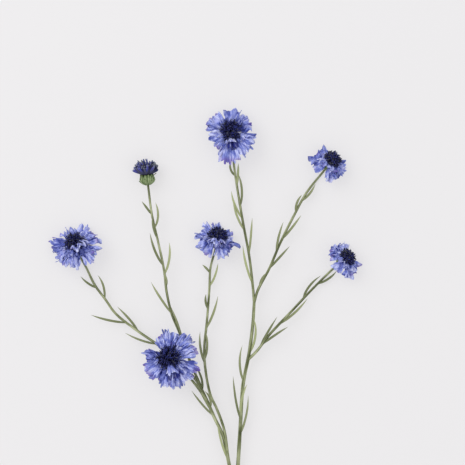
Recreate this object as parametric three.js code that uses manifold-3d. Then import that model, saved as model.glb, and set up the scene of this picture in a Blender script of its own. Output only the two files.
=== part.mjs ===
// A cornflower spray: one stem that forks into seven leafy flower stalks, six with an open
// bloom and one with a half-open bud. It lies on its back on a surface.
//
// Millimetres. +X and +Y run along the surface, with the blooms towards +Y, and +Z is up.
// The origin is on the surface, below the middle of the spray.

import * as THREE from 'three';
import { mergeVertices } from 'three/addons/utils/BufferGeometryUtils.js';
import Module from 'manifold-3d';

const wasm = await Module();
wasm.setup();

// ---------------------------------------------------------------- driving dimensions

const GAP = 0.3;              // clearance between two pieces that meet
const SLIVER = 0.04;          // edges and steps below this size are left out
const BLADE = 0.7;            // thickness of leaves and ray florets

const STEM_RADIUS = 2.1;      // the common stem at its cut end
const BRANCH_RADIUS = 1.5;    // the left branch where it forks off
const TWIG_RADIUS = 1.2;      // both branches where their last flower stalks leave
const STALK_RADIUS = 1.05;    // a flower stalk where it leaves its branch
const NECK_RADIUS = 0.85;     // a flower stalk below its bloom
const STUB_RADIUS = 1.2;      // the stub of a branch that carries a flower stalk
const STUB = 11;              // length of that stub
const NECK = 4;               // the straight end of a stalk, along its bloom's axis
const STEM_SIDES = 6;
const STEM_STEP = 15;         // length of one facet along a stem
const LEAF_WIDTH = 2.1;

const CALYX_HEIGHT = 8;
const CALYX_SIDES = 14;
const BRACT_RELIEF = 0.06;    // how far bracts stand out, as a share of the calyx's radius

const DISC_RADIUS = 4.3;      // the small disc that carries the ray florets
const DISC_HEIGHT = 1.2;
const RAY_ROOT = 0.65;        // where ray florets root, as a share of the disc's radius
const RAY_FALL = 24;          // how far an outer ray floret arches over from root to tip, degrees
const INNER_FALL = 50;        // and an inner one
const RAY_CUP = 50;           // half angle of the trough that an outer ray floret makes at its root
const INNER_CUP = 80;         // and an inner one
const RAY_STALK = 0.8;        // half the width of a ray floret at its root
const TOOTH_WIDTH = 4.5;      // one tooth of a ray floret's rim
const TOOTH_FOOT = 0.64;      // shares of a ray floret's length: where its teeth part,
const TOOTH_SHOULDER = 0.86;  // where they start to narrow,
const TOOTH_TIP = [0.93, 1.05]; // and where they end

const TUFT_REACH = 11;        // how far an open bloom's tuft reaches from its middle
const TUFT_RISE = 2.5;        // height of that middle above the disc
const TUFT_FLATNESS = 0.88;   // height of the tuft's head to its width
const TUFT_SPREAD = 60;       // half angle of an open bloom's tuft, degrees
const BUD_REACH = 10.8;       // how far the bud's tuft reaches
const BUD_SPREAD = 60;        // half angle of the bud's tuft
const STRANDS = 15;           // strands in each tuft

// Outlines turned round a bloom's axis, as radius and height in disc radii: the goblet-shaped
// core of a tuft, above the disc, and the room that the ray florets leave round the tuft.
const TUFT_CORE = [[0, 0], [0.72, 0], [1.15, 0.62], [1.2, 1.15], [0.85, 1.75], [0, 1.95]];
const TUFT_ROOM = [
  [0, 0], [0.78, 0], [1.27, 0.63], [1.27, 0.88], [2.8, 1.56], [2.8, 3.6], [0, 3.6],
];

// The stem: points along each centre line, then the radii at its two ends.
const STEM = {
  right: {
    route: [
      [25, -218, 2.0], [22, -185, 2.5], [22, -150, 3.5], [25, -115, 4.5], [25, -90, 5],
      [26, -68, 5.5], [28, -34, 6], [30, -4, 6.5], [35, 22, 7], [38, 46, 7], [39, 62, 7],
    ],
    radii: [STEM_RADIUS, TWIG_RADIUS],
    leaves: [
      [217, 1, 30, 35, 38], [186, 1, 36, 22, 14], [174, -1, 33, 24, 24],
      [189, 1, 27, 14, 34, 3], [240, -1, 30, 30, 50],
    ],
  },
  left: {
    route: [
      [25, -94, 5], [22, -82, 5.5], [19, -68, 6], [14, -45, 6], [7, -30, 6], [-1, -12, 5.5],
      [-7, -1, 5],
    ],
    radii: [BRANCH_RADIUS, TWIG_RADIUS],
    leaves: [
      [30, 1, 32, 16, 16], [68, 1, 27, 26, 14], [71, 1, 33, 9, 10, 2], [75, -1, 15, 50, 70, 0],
      [90, -1, 22, 42, 46],
    ],
  },
};

// The seven flower stalks, each with the route of the stalk before its neck, the foot of the
// calyx, the heading that the bloom leans to (anticlockwise from +X), its lean from upright, the
// bloom's size, the calyx's radius, the length of its stub on the branch if it isn't STUB, the
// stalk's leaves, the spreading ray florets, and the inner ones that stand up round the tuft.
// A leaf: distance along the stalk, side (1 left, -1 right), length, lean out, curl back, lift.
// A ray floret: turn round the bloom, length, width at the rim, and average pitch.
const FLOWERS = {
  top: {
    route: [
      [39, 62, 7], [38, 74, 7.5], [35, 99, 8], [30, 126, 7], [26, 150, 5], [23, 170, 1.8],
    ],
    foot: [21, 193, 5.2], heading: 95, lean: 27, size: 1, calyx: 3.6,
    leaves: [
      [15, 1, 32, 20, 18], [39, -1, 29, 17, 4], [58, 1, 27, 26, 26], [68, 1, 24, 30, 28],
      [78, -1, 27, 30, 38], [95, -1, 18, 18, 8], [103, 1, 13, 55, 70],
    ],
    rays: [
      [84, 16.5, 16, 12], [142, 18, 13, 6], [164, 18, 9, 3], [180, 13.5, 8, 2], [-164, 15, 9, -4],
      [-127, 15, 9, -7], [-93, 21, 17, -14], [-56, 18, 9, -9], [-27, 17, 12, -4], [15, 13.5, 7, 8],
      [41, 15, 12, 10],
    ],
    inner: [
      [-85, 8.5, 10, 24], [-118, 9, 8, 18], [-52, 9, 8, 15], [-150, 9, 8, 15], [172, 10, 8, 16],
      [130, 10, 8, 18], [95, 9, 9, 24], [60, 10, 9, 20], [-27, 10, 7, 10],
    ],
  },
  upper_right: {
    route: [
      [39, 62, 7], [42, 72, 7.5], [51, 89, 8], [60, 110, 8], [71, 132, 7], [81, 150, 4],
    ],
    foot: [96, 169, 3.4], heading: 54, lean: 45, size: 0.78, calyx: 2.8,
    leaves: [
      [14, 1, 12, 30, 45], [30, -1, 24, 17, 0], [44, 1, 25, 21, 18], [55, -1, 25, 17, 6],
      [80, 1, 15, 40, 50], [90, -1, 18, 32, 34],
    ],
    rays: [
      [107, 12, 6, 12], [135, 10.5, 8, 5], [166, 14, 9, -12], [-163, 12, 12, -28],
      [-106, 12, 6, -35], [-80, 15, 12, -30], [-54, 12, 10, -10], [-33, 11.5, 7, 5],
      [-7, 11, 10, 12], [36, 8.5, 8, 22],
    ],
    inner: [
      [-108, 10, 7, 21], [-167, 9.5, 7, 25], [-70, 9, 8, 14],
    ],
  },
  right: {
    route: [
      [34, 16, 7], [41, 23, 7.5], [51, 36, 8], [68, 54, 7], [86, 73, 4],
    ],
    foot: [106, 92, 3.3], heading: 40, lean: 50, size: 0.75, calyx: 3,
    leaves: [
      [14, 1, 28, 14, 10], [17, -1, 25, 16, -6], [38, -1, 31, 18, 22], [66, 1, 24, 34, 44],
      [83, -1, 19, 34, 36],
    ],
    rays: [
      [97, 12.5, 11, 12], [146, 12.5, 6, 0], [161, 11.5, 7, -5], [171, 12, 9, -18],
      [-135, 11.5, 11, -38], [-91, 13, 8, -33], [-66, 15, 9, -22], [-49, 13, 6, -8],
      [-27, 11.5, 7, 5], [-7, 14, 6, 3], [25, 8, 8, 20],
    ],
    inner: [
      [168, 9, 7, 27], [-120, 10, 8, 23], [-86, 9, 9, 19], [-51, 8, 7, 18],
     
    ],
  },
  centre: {
    route: [
      [18, -61, 6], [15, -40, 7], [9, -23, 7.5], [4, -12, 8], [0, 8, 8], [-1, 25, 8],
      [1, 46, 8], [3, 72, 5.5], [4, 90, 3],
    ],
    foot: [8, 106, 3.3], heading: 80, lean: 45, size: 0.88, calyx: 2.8, stub: 30,
    leaves: [
      [77, 1, 26, 20, 26], [80, -1, 24, 28, 36], [105, -1, 28, 25, 18],
      [121, 1, 12, 35, 36], [139, -1, 20, 36, 28], [150, 1, 9, 34, -20],
    ],
    rays: [
      [121, 16.5, 5, 10], [101, 12.5, 4, 14], [83, 13.5, 5, 12], [152, 11.5, 8, 15],
      [168, 15.5, 8, 0], [-176, 13.5, 12, -15], [-159, 14.5, 6, -28], [-133, 13.5, 11, -35],
      [-84, 11, 7, -35], [-66, 13, 12, -35], [-34, 12, 9, -20], [-15, 15.5, 4, -8],
      [-8, 10.5, 9, 20], [12, 9, 9, 25], [42, 10, 7, 20],
    ],
    inner: [
      [-97, 9, 11, 34], [-140, 8, 7, 25], [-50, 8.5, 7, 28],
    ],
  },
  left: {
    route: [
      [-7, -1, 5], [-20, 14, 3], [-37, 27, 4], [-57, 41, 5.5], [-72, 53, 6], [-80, 64, 6],
      [-89, 76, 3.5], [-96, 90, 1.5],
    ],
    foot: [-102, 102, 3.8], heading: 105, lean: 40, size: 0.92, calyx: 3.6,
    leaves: [
      [44, 1, 27, 30, 22], [62, -1, 26, 26, 18], [74, 1, 29, 36, 18], [100, -1, 20, 48, 42],
      [111, 1, 16, 36, 26],
    ],
    rays: [
      [70, 16.5, 13, 10], [99, 13, 4, 12], [118, 15, 8, 10], [142, 13, 5, 8], [170, 19, 14, -5],
      [-163, 17, 9, -12], [-139, 17, 8, -20], [-114, 19, 11, -27], [-86, 18, 10, -27],
      [-70, 12, 9, -24], [-50, 18, 10, -18], [-25, 16, 11, -10], [-11, 19.5, 4, -5],
      [10, 17.5, 9, 0], [30, 15, 12, 8],
    ],
    inner: [
      [-22, 9, 7, 35], [-115, 10, 8, 25],
      [-148, 9, 8, 24], [25, 11, 9, 18], [60, 11, 9, 20], [110, 10, 8, 22],
    ],
  },
  bud: {
    route: [
      [-3, -7, 5.5], [-12, 14, 7], [-20, 36, 8], [-27, 53, 8.5], [-31, 70, 9], [-33, 87, 9.5],
      [-38, 111, 9], [-43, 133, 8.3],
    ],
    foot: [-46, 156, 8], heading: 97, lean: 86, size: 1.05, calyx: 5.4,
    leaves: [
      [40, -1, 30, 6, 8, 2], [65, 1, 30, 22, 10], [87, -1, 12, 34, 60], [97, -1, 26, 38, 34],
      [104, 1, 28, 28, 26], [126, 1, 18, 16, 24, 2], [135, -1, 21, 50, 54], [146, 1, 13, 30, 4],
    ],
    rays: [],
  },
  front: {
    route: [[2, -18, 5.5], [-6, -6, 10], [-16, 6, 10], [-23, 13, 8.5]],
    foot: [-27, 17, 12], heading: 135, lean: 10, size: 1.05, calyx: 3.6,
    leaves: [],
    rays: [
      [85, 18.5, 12, 5], [99, 21, 6, 4], [121, 16, 10, 6], [172, 16.5, 13, -4],
      [-147, 18.5, 16, -3], [-111, 18.5, 9, -6], [-85, 21, 13, -8], [-63, 20.5, 6, -6],
      [-42, 19.5, 8, -5], [-22, 21, 8, -5], [8, 19, 8, 2], [28, 18.5, 11, 3], [50, 20.5, 9, 2],
      [66, 17.5, 7, 5],
    ],
    inner: [
      [-55, 10.5, 12, 18], [-120, 10, 9, 8], [-152, 10, 9, 10], [175, 10, 8, 8],
      [15, 11, 9, 14], [45, 10, 8, 16], [-15, 10, 8, 16], [75, 10, 8, 14], [110, 10, 9, 12],
    ],
  },
};

const COLOURS = {
  stem: 0x7f8f5c,
  calyx: 0x5f7a4a,
  rays: 0x6f7fd0,
  disc: 0x17173a,
};

// ---------------------------------------------------------------- helpers

const radians = THREE.MathUtils.degToRad;
const UP = new THREE.Vector3(0, 0, 1);

// A repeatable draw between low and high, so that the spray grows the same way every time.
let draw = 9338;
function between(low, high) {
  draw = (draw * 1664525 + 1013904223) % 4294967296;
  return low + (high - low) * (draw / 4294967296);
}

// A closed surface through rings of points with equal counts; a ring of one point is a tip.
function loft(rings) {
  const points = rings.flat();
  const starts = rings.map((ring, i) => rings.slice(0, i).reduce((sum, r) => sum + r.length, 0));
  const faces = [];
  rings.slice(0, -1).forEach((ring, i) => {
    const next = rings[i + 1];
    const count = Math.max(ring.length, next.length);
    for (let k = 0; k < count; k += 1) {
      const a = starts[i] + (k % ring.length);
      const b = starts[i] + ((k + 1) % ring.length);
      const c = starts[i + 1] + (k % next.length);
      const d = starts[i + 1] + ((k + 1) % next.length);
      if (a !== b) faces.push(a, b, d);
      if (c !== d) faces.push(a, d, c);
    }
  });
  const last = starts[rings.length - 1];
  for (let k = 1; k < rings[0].length - 1; k += 1) faces.push(0, k + 1, k);
  for (let k = 1; k < rings.at(-1).length - 1; k += 1) faces.push(last, last + k, last + k + 1);
  return meshOf(points, faces);
}

function meshOf(points, faces) {
  const geometry = new THREE.BufferGeometry();
  geometry.setFromPoints(points);
  geometry.setIndex(faces);
  return geometry;
}

function toSolid(geometry) {
  const shape = geometry.clone();
  shape.deleteAttribute('normal');
  shape.deleteAttribute('uv');
  const merged = mergeVertices(shape, 1e-4);
  const mesh = new wasm.Mesh({
    numProp: 3,
    vertProperties: new Float32Array(merged.attributes.position.array),
    triVerts: new Uint32Array(merged.index.array),
  });
  return new wasm.Manifold(mesh);
}

function toGeometry(solid) {
  const mesh = solid.getMesh();
  const geometry = new THREE.BufferGeometry();
  geometry.setAttribute('position', new THREE.BufferAttribute(mesh.vertProperties, 3));
  geometry.setIndex(new THREE.BufferAttribute(mesh.triVerts, 1));
  return geometry;
}

const fuse = (geometries) => geometries.map(toSolid).reduce((whole, piece) => whole.add(piece));

// The largest body of a solid, without the scraps that a cut leaves.
function mainBody(solid) {
  return solid.decompose().sort((a, b) => b.volume() - a.volume())[0];
}

// What dips below the surface is pressed flat on it. The slivers that cuts and joins leave are
// closed up.
const floor = toSolid(new THREE.BoxGeometry(600, 600, 10).translate(0, 0, -5));
const rest = (solid) => mainBody(solid.subtract(floor)).simplify(SLIVER);

// ---------------------------------------------------------------- stems and leaves

const curveOf = (route) => new THREE.CatmullRomCurve3(route.map((p) => new THREE.Vector3(...p)));

// A tapered round stem along part of a curve; from and to are distances along it.
function stemTube(curve, from, to, radii) {
  const length = curve.getLength();
  const steps = Math.max(2, Math.round((to - from) / STEM_STEP));
  const rings = [];
  for (let i = 0; i <= steps; i += 1) {
    const share = (from + ((to - from) * i) / steps) / length;
    const centre = curve.getPointAt(share);
    const along = curve.getTangentAt(share);
    const across = new THREE.Vector3().crossVectors(UP, along).normalize();
    const above = new THREE.Vector3().crossVectors(along, across);
    const radius = THREE.MathUtils.lerp(radii[0], radii[1], share);
    rings.push(ringAround(centre, across, above, radius, STEM_SIDES));
  }
  return loft(rings);
}

function ringAround(centre, across, above, radius, sides) {
  const ring = [];
  for (let k = 0; k < sides; k += 1) {
    const angle = (2 * Math.PI * (k + 0.5)) / sides;
    ring.push(centre.clone()
      .addScaledVector(across, radius * Math.cos(angle))
      .addScaledVector(above, radius * Math.sin(angle)));
  }
  return ring;
}

// A linear, pointed leaf that leaves the stem at an angle and curls back towards it.
function leafBlade(curve, [distance, side, length, lean, curl, lift = 1.2]) {
  const share = distance / curve.getLength();
  const along = curve.getTangentAt(share);
  const place = curve.getPointAt(share);
  const shares = [0, 0.3, 0.68, 1];
  const widths = [0.7, 1, 0.85, 0];
  const rings = shares.map((s, i) => {
    const turn = radians(side * (lean - curl * s));
    const ahead = along.clone().applyAxisAngle(UP, turn).setZ(0).normalize();
    if (i > 0) place.addScaledVector(ahead, (s - shares[i - 1]) * length);
    const rise = lift * Math.sin(Math.PI * s * 0.75);
    const middle = place.clone().setZ(place.z + rise + along.z * length * s * 0.7);
    if (s === 1) return [middle];
    const across = new THREE.Vector3().crossVectors(UP, ahead);
    const half = (LEAF_WIDTH * widths[i]) / 2;
    const corners = [[-1, -1], [1, -1], [1, 1], [-1, 1]];
    return corners.map(([a, b]) => middle.clone()
      .addScaledVector(across, a * half)
      .addScaledVector(UP, (b * BLADE) / 2));
  });
  return loft(rings);
}

function leafyStem(curve, from, to, radii, leaves) {
  return [stemTube(curve, from, to, radii), ...leaves.map((leaf) => leafBlade(curve, leaf))];
}

// ---------------------------------------------------------------- blooms

function bloomAxis(flower) {
  const tilt = radians(flower.lean);
  const heading = radians(flower.heading);
  return new THREE.Vector3(
    Math.sin(tilt) * Math.cos(heading),
    Math.sin(tilt) * Math.sin(heading),
    Math.cos(tilt),
  );
}

// From the bloom's own frame, with its axis along +Z and its calyx's foot at zero.
function bloomPlace(flower) {
  const turn = new THREE.Quaternion().setFromUnitVectors(UP, bloomAxis(flower));
  const foot = new THREE.Vector3(...flower.foot);
  return new THREE.Matrix4().compose(foot, turn, new THREE.Vector3(1, 1, 1));
}

// The calyx: an urn of overlapping bracts, raised as relief. A row: height, then radius, as shares.
function calyx(flower) {
  const rows = [[0, 0.3], [0.16, 0.74], [0.36, 1.01], [0.58, 1.03], [0.8, 0.89], [1, 0.82]];
  const rings = rows.map(([height, width], row) => {
    const ring = [];
    for (let k = 0; k < CALYX_SIDES; k += 1) {
      const angle = (2 * Math.PI * k) / CALYX_SIDES;
      const raised = row > 0 && (k + row) % 2 === 0;
      const radius = flower.calyx * width * (raised ? 1 + BRACT_RELIEF : 1 - BRACT_RELIEF);
      ring.push(new THREE.Vector3(
        radius * Math.cos(angle),
        radius * Math.sin(angle),
        height * CALYX_HEIGHT,
      ));
    }
    return ring;
  });
  return loft(rings);
}

// A point on a ray floret's middle surface: u runs from root to tip, v across it from -1 to 1.
function raySurface([turn, length, width, pitch], { fall, cup }, size, u, v) {
  const start = pitch + fall / 2;
  const slope = start - fall * u;
  const root = DISC_RADIUS * size * RAY_ROOT;
  const out = root + (length / fall) * (Math.sin(start) - Math.sin(slope));
  const up = (length / fall) * (Math.cos(slope) - Math.cos(start));
  const opened = Math.sin(THREE.MathUtils.clamp(u, 0, 1) * (Math.PI / 2)) ** 1.4;
  const half = THREE.MathUtils.lerp(RAY_STALK, width / 2, opened);
  const bend = cup * (1 - 0.72 * u);
  const across = (half / bend) * Math.sin(v * bend);
  const lift = (half / bend) * (1 - Math.cos(v * bend)) + 0.5 * u * u * Math.sin(9 * v + turn);
  const point = new THREE.Vector3(
    out - lift * Math.sin(slope),
    across,
    up + lift * Math.cos(slope),
  );
  return point.applyAxisAngle(UP, turn);
}

// A ray floret: a funnel that opens into a fan, its rim cut into pointed teeth.
function rayFloret([turn, length, width, pitch], whorl, size) {
  const ray = [radians(turn), length, width, radians(pitch)];
  const teeth = Math.max(2, Math.round(width / TOOTH_WIDTH));
  const shoulderWidth = 0.72 / teeth;
  const grid = [...whorl.grid, [TOOTH_FOOT, teeth]];
  const places = [];
  const rows = grid.map(([u, spans]) => {
    const row = [];
    for (let k = 0; k <= spans; k += 1) {
      row.push(places.length);
      places.push([u, -1 + (2 * k) / spans]);
    }
    return row;
  });
  const faces = rows.slice(1).flatMap((row, i) => strip(rows[i], row, places));
  const foot = rows.at(-1);
  const rim = [];
  for (let k = 0; k < teeth; k += 1) {
    const middle = -1 + (2 * k + 1) / teeth;
    const left = places.length;
    places.push([TOOTH_SHOULDER, middle - shoulderWidth]);
    places.push([between(...TOOTH_TIP), middle]);
    places.push([TOOTH_SHOULDER, middle + shoulderWidth]);
    const [a, b] = [foot[k], foot[k + 1]];
    faces.push([a, b, left + 2], [a, left + 2, left], [left, left + 2, left + 1]);
    rim.push(a, left, left + 1, left + 2);
  }
  rim.push(foot[teeth]);
  const waists = rows.slice(1, -1);
  const right = waists.map((row) => row.at(-1)).reverse();
  const left = waists.map((row) => row[0]);
  const outline = [...rim, ...right, rows[0][1], rows[0][0], ...left];
  return thicken(places, faces, outline, (u, v) => raySurface(ray, whorl, size, u, v));
}

// Triangles between two rows of places, stepping along whichever row is behind.
function strip(lower, upper, places) {
  const faces = [];
  let i = 0;
  let j = 0;
  while (i < lower.length - 1 || j < upper.length - 1) {
    const nextLower = i < lower.length - 1 ? places[lower[i + 1]][1] : Infinity;
    const nextUpper = j < upper.length - 1 ? places[upper[j + 1]][1] : Infinity;
    if (nextLower <= nextUpper) {
      faces.push([lower[i], lower[i + 1], upper[j]]);
      i += 1;
    } else {
      faces.push([lower[i], upper[j + 1], upper[j]]);
      j += 1;
    }
  }
  return faces;
}

// A sheet of even thickness over a surface, split into triangles alike on both faces.
function thicken(places, faces, outline, surface) {
  const step = 0.01;
  const sides = [1, -1].map((side) => places.map(([u, v]) => {
    const along = surface(u + step, v).sub(surface(u - step, v));
    const across = surface(u, v + step).sub(surface(u, v - step));
    const normal = along.cross(across).normalize();
    return surface(u, v).addScaledVector(normal, (side * BLADE) / 2);
  }));
  const count = places.length;
  const index = [];
  faces.forEach(([a, b, c]) => index.push(a, c, b, count + a, count + b, count + c));
  outline.forEach((a, k) => {
    const b = outline[(k + 1) % outline.length];
    index.push(a, count + b, b, a, count + a, count + b);
  });
  return meshOf(sides.flat(), index);
}

// The ray florets of a bloom, on the disc that carries them, clear of the tuft above it.
function rayFlorets(flower) {
  const { size } = flower;
  const level = CALYX_HEIGHT + GAP;
  const disc = new THREE.CylinderGeometry(
    DISC_RADIUS * size, DISC_RADIUS * size * 0.8, DISC_HEIGHT, 8,
  );
  disc.rotateX(Math.PI / 2).translate(0, 0, level + DISC_HEIGHT / 2);
  const outer = { fall: radians(RAY_FALL), cup: radians(RAY_CUP), grid: [[0, 1], [0.3, 2]] };
  const inner = { fall: radians(INNER_FALL), cup: radians(INNER_CUP), grid: [[0, 1]] };
  const florets = [
    ...flower.rays.map((ray) => rayFloret(ray, outer, size)),
    ...flower.inner.map((ray) => rayFloret(ray, inner, size)),
  ].map((floret) => floret.translate(0, 0, level + DISC_HEIGHT / 2));
  const radius = DISC_RADIUS * size;
  const room = new THREE.LatheGeometry(
    TUFT_ROOM.map(([r, h]) => new THREE.Vector2(r * radius, h * radius)), 12,
  ).rotateX(Math.PI / 2).translate(0, 0, level + DISC_HEIGHT);
  return mainBody(fuse([disc, ...florets]).subtract(toSolid(room)));
}

// The dark tuft: a rounded head of disc florets, as strands that stand out of a goblet-shaped core.
function discFlorets(flower) {
  const bud = flower.rays.length === 0;
  const level = CALYX_HEIGHT + GAP + (bud ? 0 : DISC_HEIGHT + GAP);
  const radius = DISC_RADIUS * flower.size;
  const core = new THREE.LatheGeometry(
    TUFT_CORE.map(([r, h]) => new THREE.Vector2(r * radius, h * radius)), 6,
  ).rotateX(Math.PI / 2).translate(0, 0, level);
  const form = bud
    ? { spread: BUD_SPREAD, reach: BUD_REACH, rise: 0, flatness: 1 }
    : { spread: TUFT_SPREAD, reach: TUFT_REACH, rise: TUFT_RISE, flatness: TUFT_FLATNESS };
  const pieces = [core];
  for (let k = 0; k < STRANDS; k += 1) {
    const polar = radians(form.spread * Math.sqrt((k + 0.5) / STRANDS) + between(-3, 3));
    const azimuth = k * Math.PI * (3 - Math.sqrt(5));
    const reach = form.reach * flower.size * between(0.9, 1.06);
    pieces.push(strand(polar, azimuth, reach)
      .scale(1, 1, form.flatness)
      .translate(0, 0, level + form.rise * flower.size));
  }
  return fuse(pieces);
}

// One three-sided strand, thickest near its tip. A ring: share of its length, then radius.
function strand(polar, azimuth, reach) {
  const curve = new THREE.QuadraticBezierCurve3(
    pointAt(polar, azimuth, reach * 0.2),
    pointAt(polar * 0.95, azimuth + 0.1, reach * 0.6),
    pointAt(polar, azimuth, reach),
  );
  const rings = [[0.3, 0.8], [0.86, 1.15]].map(([share, radius]) => {
    const along = curve.getTangent(share);
    const side = new THREE.Vector3().crossVectors(along, new THREE.Vector3(1, 0.2, 0)).normalize();
    const over = new THREE.Vector3().crossVectors(along, side);
    return ringAround(curve.getPoint(share), side, over, radius, 3);
  });
  return loft([...rings, [curve.getPoint(1)]]);
}

// The point at a distance from the origin, by its angle from +Z and its turn round it.
function pointAt(polar, azimuth, distance) {
  return new THREE.Vector3().setFromSphericalCoords(distance, polar, azimuth).applyAxisAngle(
    new THREE.Vector3(1, 0, 0), Math.PI / 2,
  );
}

// ---------------------------------------------------------------- assembly

const spray = new THREE.Group();

function addNode(name, solid, kind) {
  const material = new THREE.MeshStandardMaterial({
    color: COLOURS[kind],
    roughness: 0.75,
    metalness: 0,
  });
  const mesh = new THREE.Mesh(toGeometry(rest(solid)), material);
  mesh.name = name;
  spray.add(mesh);
}

function stalkCurve(flower) {
  const foot = new THREE.Vector3(...flower.foot);
  const neck = foot.clone().addScaledVector(bloomAxis(flower), -NECK);
  return curveOf([...flower.route, neck.toArray(), flower.foot]);
}

const stubOf = (flower) => flower.stub ?? STUB;

const stemPieces = Object.values(STEM).flatMap(({ route, radii, leaves }) => {
  const curve = curveOf(route);
  return leafyStem(curve, 0, curve.getLength(), radii, leaves);
});
const stalkRadii = [STALK_RADIUS, NECK_RADIUS];
Object.values(FLOWERS).forEach((flower) => {
  stemPieces.push(stemTube(stalkCurve(flower), 0, stubOf(flower), [STUB_RADIUS, STUB_RADIUS]));
});
addNode('main_stem', fuse(stemPieces), 'stem');

Object.entries(FLOWERS).forEach(([name, flower]) => {
  const curve = stalkCurve(flower);
  const end = curve.getLength() - GAP;
  const stalk = leafyStem(curve, stubOf(flower) + GAP, end, stalkRadii, flower.leaves);
  addNode(`${name}_stalk`, fuse(stalk), 'stem');
  const place = bloomPlace(flower);
  const inPlace = (solid) => toSolid(toGeometry(solid).applyMatrix4(place));
  addNode(`${name}_calyx`, inPlace(toSolid(calyx(flower))), 'calyx');
  if (flower.rays.length > 0) addNode(`${name}_rays`, inPlace(rayFlorets(flower)), 'rays');
  addNode(`${name}_disc`, inPlace(discFlorets(flower)), 'disc');
});

export default spray;
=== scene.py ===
"""A cornflower spray that lies on its back: leafy stems, six open blooms and a half-open bud.

The tables and shapes are in millimetres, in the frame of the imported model, and each piece is
scaled to metres once, where its mesh is made. In a bloom's own frame, its axis is +Z and its
calyx starts at zero.
"""

from collections import namedtuple
from math import atan2, cos, degrees, pi, radians, sin, sqrt, tan

import bpy
import numpy as np
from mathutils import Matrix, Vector


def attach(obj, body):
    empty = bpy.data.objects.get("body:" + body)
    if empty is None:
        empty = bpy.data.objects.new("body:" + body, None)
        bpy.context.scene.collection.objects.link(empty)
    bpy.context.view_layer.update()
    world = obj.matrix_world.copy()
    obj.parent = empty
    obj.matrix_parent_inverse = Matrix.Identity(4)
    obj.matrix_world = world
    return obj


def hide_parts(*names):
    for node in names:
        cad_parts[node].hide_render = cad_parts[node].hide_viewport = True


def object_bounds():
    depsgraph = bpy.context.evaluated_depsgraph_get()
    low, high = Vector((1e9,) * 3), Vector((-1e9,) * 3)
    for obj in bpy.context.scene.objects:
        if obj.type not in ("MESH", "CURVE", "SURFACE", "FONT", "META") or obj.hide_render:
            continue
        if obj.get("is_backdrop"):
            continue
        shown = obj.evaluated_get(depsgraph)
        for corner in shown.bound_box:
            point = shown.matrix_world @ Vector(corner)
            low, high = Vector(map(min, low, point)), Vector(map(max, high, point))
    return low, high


# ---- sizes

MM = 0.001
SEED = 9338
GAP = 0.3  # between one node and the next
PRESSED = 0.6  # what lies lower than this is pressed up, off the surface

STALK_RADII = (1.1, 0.9)
STUB = 11  # the start of a flower stalk, which is part of the main stem
NECK = 4
STEM_SIDES = 15
STEM_STEP = 1.6
RIBS, RIB_DEPTH, RIB_TWIST = 5, 0.055, 0.02
SWELL, SWELL_SPACING = 0.05, 8
LEAF_WIDTH = 1.7
LEAF_THICKNESS = 0.42
LEAF_LIFT = 1.2
LEAF_FOLD = 0.42
LEAF_TWIST = 34

CALYX_HEIGHT = 8
# A ring of bracts: where it starts and how far it reaches, in shares of the calyx, and how many.
BRACT_RINGS = (0, 0.5, 8), (0.06, 0.62, 9), (0.2, 0.64, 10), (0.36, 0.62, 10), (0.54, 0.54, 11)
BRACT_THICKNESS = 0.3
EAR_CURL = 2.6

DISC_RADIUS = 4.3
DISC_HEIGHT = 1.2
RAY_ROOT = 0.65  # where a ray floret starts, as a share of the disc's radius
RAY_FALL = 24  # how far an outer ray floret bends down along its length, in degrees
INNER_FALL = 50
RAY_THICKNESS = 0.28
RAY_TUBE = 1.6  # half of a ray floret's width where it is still a tube
TUBE_CUP = 165  # how far the tube curls to each side of its middle, in degrees
RAY_CUPS = 50, 300  # the same for its fan, open or hooded
HOOD_LIFT, HOOD_CALM = 2.4, 0.35
RUFFLE, PLEAT, CRUMPLE = 1.6, 0.14, 0.16
CRUMPLE_LENGTHS = 2.4, 3.3, 4.4, 6, 8.5
EDGE_BEND, TOOTH_CURL = 1.3, 1.5
TOOTH_SPACING = 2.1
TOOTH_COLUMNS = 4
TOOTH_ROWS = 0.12, 0.25, 0.38, 0.5, 0.62, 0.74, 0.84, 0.92, 0.97, 1
# The span of a floret's draws for plain, violet and dark tips: high draws are violet, low ones dark.
TIP_DRAWS = (0.25, 0.8), (0.62, 1), (0, 0.5)

TUFT_COUNT, TUFT_LOBES = 110, 3
TUFT_RISE = 2.5
TUFT_REACH = 10.4
TUFT_FLATNESS = 0.88
TUFT_SPREAD = 84
TUBE_RADII = 0.45, 0.5, 0.52, 0.6, 0.7
COLUMN_RADII = 0.4, 0.5, 0.5, 0.5, 0.52, 0.56, 0.5, 0.24
LOBE_RADII = 0.36, 0.4, 0.36, 0.16
CORE_HEIGHTS, CORE_RADII = (0, 0.5, 1, 1.5, 1.8), (0.7, 1.1, 1.2, 0.9, 0.2)
BUD_COUNT = 96
BUD_REACH = 12
BUD_SPREAD = 50
BUD_ROOT = 3.6
BUD_RADII = 0.5, 0.5, 0.55, 0.62, 0.7, 0.76, 0.78, 0.7, 0.45
BUD_CORE = 0.7
# A bud's loose floret: its angle from the axis, its angle round it, its reach and its girth.
LOOSE_FLORETS = (58, 184, 9, 0.5), (62, -4, 7, 1.6), (20, 200, 13, 0.7)

CAMERA_PLACE = (0.0216, 0.118, 1.6)
VIEW_WIDTH, VIEW_LEVEL = 0.372, 0.008  # what the camera takes in, and at what height
FLOOR_CORNERS = (-6, -6, 0), (6, -6, 0), (6, 6, 0), (-6, 6, 0)
LIGHT_TARGET = (0.02, 0.08, 0)

# The kinds of surface in the marks of a stem, a calyx and a tuft.
STEM, LEAF, LEAF_BACK = range(3)
URN, BRACT = range(2)
TUBE, COLUMN, LOBE, CORE, CLOSED = range(5)

# ---- the plant's tables

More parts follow.
